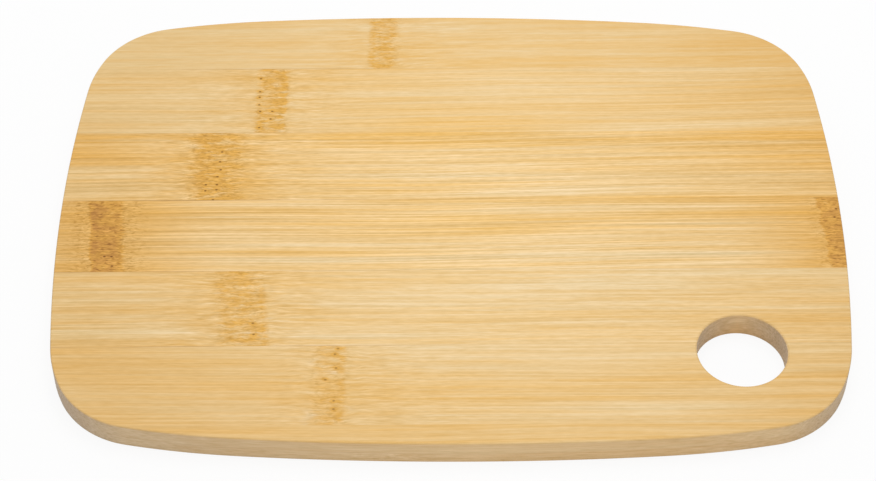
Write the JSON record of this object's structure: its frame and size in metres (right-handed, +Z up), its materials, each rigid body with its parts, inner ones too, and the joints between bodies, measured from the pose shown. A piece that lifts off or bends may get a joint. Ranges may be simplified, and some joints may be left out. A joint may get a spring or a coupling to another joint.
{
  "type": "laminated bamboo chopping board",
  "caption": "Flat laminated bamboo chopping board with bowed sides, round corners and a round hanging hole near one corner.",
  "frame": {"origin": "under the middle of the board, on the surface that it lies on", "axes": "+X along the grain to the end with the hole, +Y to the back, +Z up out of the cutting face"},
  "size_m": [0.28, 0.207, 0.01],
  "materials": {
    "upper_bamboo": "sanded and oiled, satin",
    "lower_bamboo": "sanded and oiled, satin"
  },
  "bodies": {
    "root": {"upper_stave_1": "upper_bamboo", "upper_stave_2": "upper_bamboo", "upper_stave_3": "upper_bamboo", "upper_stave_4": "upper_bamboo", "upper_stave_5": "upper_bamboo", "upper_stave_6": "upper_bamboo", "upper_stave_7": "upper_bamboo", "lower_stave_1": "lower_bamboo", "lower_stave_2": "lower_bamboo", "lower_stave_3": "lower_bamboo", "lower_stave_4": "lower_bamboo", "lower_stave_5": "lower_bamboo", "lower_stave_6": "lower_bamboo", "lower_stave_7": "lower_bamboo"}
  },
  "joints": []
}
